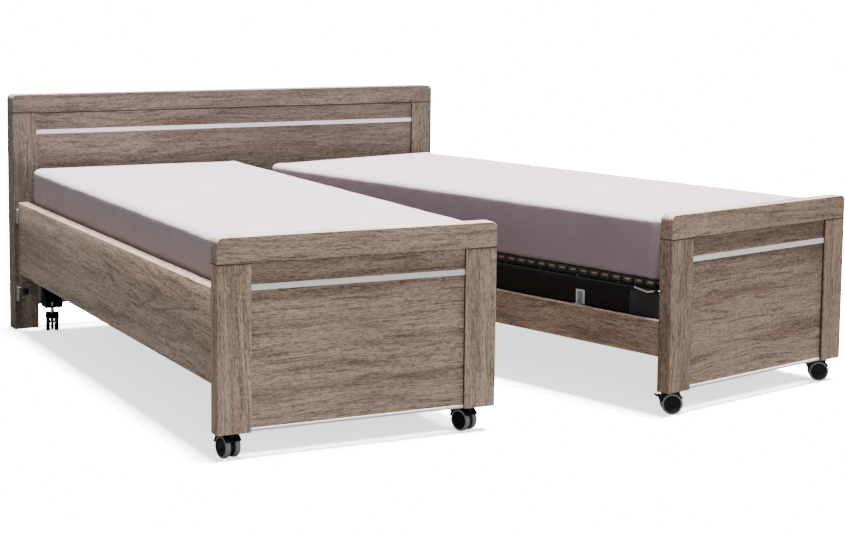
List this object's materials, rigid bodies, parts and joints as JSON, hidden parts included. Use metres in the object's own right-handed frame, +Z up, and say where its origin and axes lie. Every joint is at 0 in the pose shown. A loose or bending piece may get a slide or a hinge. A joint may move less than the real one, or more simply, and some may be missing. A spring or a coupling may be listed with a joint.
{
  "type": "hospital_bed",
  "caption": "Adjustable double care bed: two motorised slatted beds on castors hinged to one wide oak-look headboard, with mattresses",
  "frame": {"origin": "centre of the bounding box, on the floor", "axes": "+Z up, +Y from the foot of the bed to the headboard, +X to the right seen from the foot"},
  "size_m": [2.2909, 2.3101, 0.885],
  "materials": {
    "oak": "satin",
    "aluminium": "satin",
    "black_steel": "satin",
    "zinc": "satin",
    "black_plastic": "satin",
    "grey_rubber": "matte",
    "beech": "satin",
    "sheet": "matte"
  },
  "bodies": {
    "headboard": {"headboard_post_left": "oak", "headboard_post_right": "oak", "headboard_top_rail": "oak", "headboard_panel": "oak", "headboard_inlay": "aluminium", "hinge_rod_left": "zinc", "hinge_rod_right": "zinc"},
    "bed_left": {"outer_rail_left": "oak", "inner_rail_left": "oak", "foot_post_outer_left": "oak", "foot_post_inner_left": "oak", "foot_top_rail_left": "oak", "foot_panel_left": "oak", "foot_inlay_left": "aluminium", "base_frame_left": "black_steel", "drive_unit_left": "black_plastic", "mattress_seat_left": "sheet"},
    "back_left": {"back_section_left": "beech", "mattress_back_left": "sheet"},
    "thigh_left": {"thigh_section_left": "beech", "mattress_thigh_left": "sheet"},
    "calf_left": {"calf_section_left": "beech", "mattress_calf_left": "sheet"},
    "castor_foot_outer_left": {"castor_foot_outer_left": "black_plastic"},
    "wheels_foot_outer_left": {"wheels_foot_outer_left": "grey_rubber"},
    "brake_pedal_foot_outer_left": {"brake_pedal_foot_outer_left": "black_plastic"},
    "castor_foot_inner_left": {"castor_foot_inner_left": "black_plastic"},
    "wheels_foot_inner_left": {"wheels_foot_inner_left": "grey_rubber"},
    "brake_pedal_foot_inner_left": {"brake_pedal_foot_inner_left": "black_plastic"},
    "castor_head_outer_left": {"castor_head_outer_left": "black_plastic"},
    "wheels_head_outer_left": {"wheels_head_outer_left": "grey_rubber"},
    "castor_head_inner_left": {"castor_head_inner_left": "black_plastic"},
    "wheels_head_inner_left": {"wheels_head_inner_left": "grey_rubber"},
    "bed_right": {"outer_rail_right": "oak", "inner_rail_right": "oak", "foot_post_outer_right": "oak", "foot_post_inner_right": "oak", "foot_top_rail_right": "oak", "foot_panel_right": "oak", "foot_inlay_right": "aluminium", "base_frame_right": "black_steel", "drive_unit_right": "black_plastic", "mattress_seat_right": "sheet"},
    "back_right": {"back_section_right": "beech", "mattress_back_right": "sheet"},
    "thigh_right": {"thigh_section_right": "beech", "mattress_thigh_right": "sheet"},
    "calf_right": {"calf_section_right": "beech", "mattress_calf_right": "sheet"},
    "castor_foot_outer_right": {"castor_foot_outer_right": "black_plastic"},
    "wheels_foot_outer_right": {"wheels_foot_outer_right": "grey_rubber"},
    "brake_pedal_foot_outer_right": {"brake_pedal_foot_outer_right": "black_plastic"},
    "castor_foot_inner_right": {"castor_foot_inner_right": "black_plastic"},
    "wheels_foot_inner_right": {"wheels_foot_inner_right": "grey_rubber"},
    "brake_pedal_foot_inner_right": {"brake_pedal_foot_inner_right": "black_plastic"},
    "castor_head_outer_right": {"castor_head_outer_right": "black_plastic"},
    "wheels_head_outer_right": {"wheels_head_outer_right": "grey_rubber"},
    "castor_head_inner_right": {"castor_head_inner_right": "black_plastic"},
    "wheels_head_inner_right": {"wheels_head_inner_right": "grey_rubber"}
  },
  "joints": [
    {"name": "swing_left", "type": "hinge", "parent": "headboard", "child": "bed_left", "pos_m": [-1.07271, 1.07525, 0], "axis": [0, 0, -1], "range_deg": [-2, 58]},
    {"name": "back_lift_left", "type": "hinge", "parent": "bed_left", "child": "back_left", "pos_m": [-1.09888, 0.3257, 0.398], "axis": [0.9994, -0.0349, 0], "range_deg": [0, 70], "deforming": ["mattress_seat_left"]},
    {"name": "thigh_lift_left", "type": "hinge", "parent": "bed_left", "child": "thigh_left", "pos_m": [-1.10552, 0.13582, 0.398], "axis": [-0.9994, 0.0349, 0], "range_deg": [0, 35], "deforming": ["mattress_seat_left"]},
    {"name": "knee_left", "type": "hinge", "parent": "thigh_left", "child": "calf_left", "pos_m": [-1.1171, -0.19598, 0.378], "axis": [0.9994, -0.0349, 0], "range_deg": [0, 50]},
    {"name": "swivel_foot_outer_left", "type": "hinge", "parent": "bed_left", "child": "castor_foot_outer_left", "pos_m": [-1.09284, -0.99131, 0], "axis": [0, 0, 1], "continuous": true},
    {"name": "roll_foot_outer_left", "type": "hinge", "parent": "castor_foot_outer_left", "child": "wheels_foot_outer_left", "pos_m": [-1.09563, -0.9715, 0.0335], "axis": [0.9903, 0.1392, 0], "continuous": true},
    {"name": "brake_foot_outer_left", "type": "hinge", "parent": "castor_foot_outer_left", "child": "brake_pedal_foot_outer_left", "pos_m": [-1.10075, -0.93506, 0.05475], "axis": [-0.9903, -0.1392, 0], "range_deg": [0, 12]},
    {"name": "swivel_foot_inner_left", "type": "hinge", "parent": "bed_left", "child": "castor_foot_inner_left", "pos_m": [-0.3403, -1.01759, 0], "axis": [0, 0, 1], "continuous": true},
    {"name": "roll_foot_inner_left", "type": "hinge", "parent": "castor_foot_inner_left", "child": "wheels_foot_inner_left", "pos_m": [-0.34615, -0.99846, 0.0335], "axis": [0.9563, 0.2924, 0], "continuous": true},
    {"name": "brake_foot_inner_left", "type": "hinge", "parent": "castor_foot_inner_left", "child": "brake_pedal_foot_inner_left", "pos_m": [-0.35691, -0.96327, 0.05475], "axis": [-0.9563, -0.2924, 0], "range_deg": [0, 12]},
    {"name": "swivel_head_outer_left", "type": "hinge", "parent": "bed_left", "child": "castor_head_outer_left", "pos_m": [-0.97057, 0.99163, 0], "axis": [0, 0, 1], "continuous": true},
    {"name": "roll_head_outer_left", "type": "hinge", "parent": "castor_head_outer_left", "child": "wheels_head_outer_left", "pos_m": [-0.96472, 1.01076, 0.0335], "axis": [0.9563, -0.2924, 0], "continuous": true},
    {"name": "swivel_head_inner_left", "type": "hinge", "parent": "bed_left", "child": "castor_head_inner_left", "pos_m": [-0.27099, 0.9672, 0], "axis": [0, 0, 1], "continuous": true},
    {"name": "roll_head_inner_left", "type": "hinge", "parent": "castor_head_inner_left", "child": "wheels_head_inner_left", "pos_m": [-0.27447, 0.9869, 0.0335], "axis": [0.9848, 0.1736, 0], "continuous": true},
    {"name": "swing_right", "type": "hinge", "parent": "headboard", "child": "bed_right", "pos_m": [0.69329, 1.07525, 0], "axis": [0, 0, 1], "range_deg": [-12.5, 47.5]},
    {"name": "back_lift_right", "type": "hinge", "parent": "bed_right", "child": "back_right", "pos_m": [0.85562, 0.34302, 0.398], "axis": [0.9763, 0.2164, 0], "range_deg": [0, 70], "deforming": ["mattress_seat_right"]},
    {"name": "thigh_lift_right", "type": "hinge", "parent": "bed_right", "child": "thigh_right", "pos_m": [0.89674, 0.15753, 0.398], "axis": [-0.9763, -0.2164, 0], "range_deg": [0, 35], "deforming": ["mattress_seat_right"]},
    {"name": "knee_right", "type": "hinge", "parent": "thigh_right", "child": "calf_right", "pos_m": [0.9686, -0.1666, 0.378], "axis": [0.9763, 0.2164, 0], "range_deg": [0, 50]},
    {"name": "swivel_foot_outer_right", "type": "hinge", "parent": "bed_right", "child": "castor_foot_outer_right", "pos_m": [1.08969, -0.95304, 0], "axis": [0, 0, 1], "continuous": true},
    {"name": "roll_foot_outer_right", "type": "hinge", "parent": "castor_foot_outer_right", "child": "wheels_foot_outer_right", "pos_m": [1.07282, -0.94229, 0.0335], "axis": [0.5373, 0.8434, 0], "continuous": true},
    {"name": "brake_foot_outer_right", "type": "hinge", "parent": "castor_foot_outer_right", "child": "brake_pedal_foot_outer_right", "pos_m": [1.04178, -0.92251, 0.05475], "axis": [-0.5373, -0.8434, 0], "range_deg": [0, 12]},
    {"name": "swivel_foot_inner_right", "type": "hinge", "parent": "bed_right", "child": "castor_foot_inner_right", "pos_m": [0.35454, -1.11601, 0], "axis": [0, 0, 1], "continuous": true},
    {"name": "roll_foot_inner_right", "type": "hinge", "parent": "castor_foot_inner_right", "child": "wheels_foot_inner_right", "pos_m": [0.33688, -1.10663, 0.0335], "axis": [0.4695, 0.8829, 0], "continuous": true},
    {"name": "brake_foot_inner_right", "type": "hinge", "parent": "castor_foot_inner_right", "child": "brake_pedal_foot_inner_right", "pos_m": [0.30438, -1.08935, 0.05475], "axis": [-0.4695, -0.8829, 0], "range_deg": [0, 12]},
    {"name": "swivel_head_outer_right", "type": "hinge", "parent": "bed_right", "child": "castor_head_outer_right", "pos_m": [0.6081, 0.97442, 0], "axis": [0, 0, 1], "continuous": true},
    {"name": "roll_head_outer_right", "type": "hinge", "parent": "castor_head_outer_right", "child": "wheels_head_outer_right", "pos_m": [0.59458, 0.98916, 0.0335], "axis": [0.7373, 0.6756, 0], "continuous": true},
    {"name": "swivel_head_inner_right", "type": "hinge", "parent": "bed_right", "child": "castor_head_inner_right", "pos_m": [-0.07531, 0.82291, 0], "axis": [0, 0, 1], "continuous": true},
    {"name": "roll_head_inner_right", "type": "hinge", "parent": "castor_head_inner_right", "child": "wheels_head_inner_right", "pos_m": [-0.08664, 0.83939, 0.0335], "axis": [0.8241, 0.5664, 0], "continuous": true}
  ],
  "couplings": [
    {"joint": "knee_left", "follows": "thigh_lift_left", "ratio": 1.42},
    {"joint": "knee_right", "follows": "thigh_lift_right", "ratio": 1.42}
  ]
}
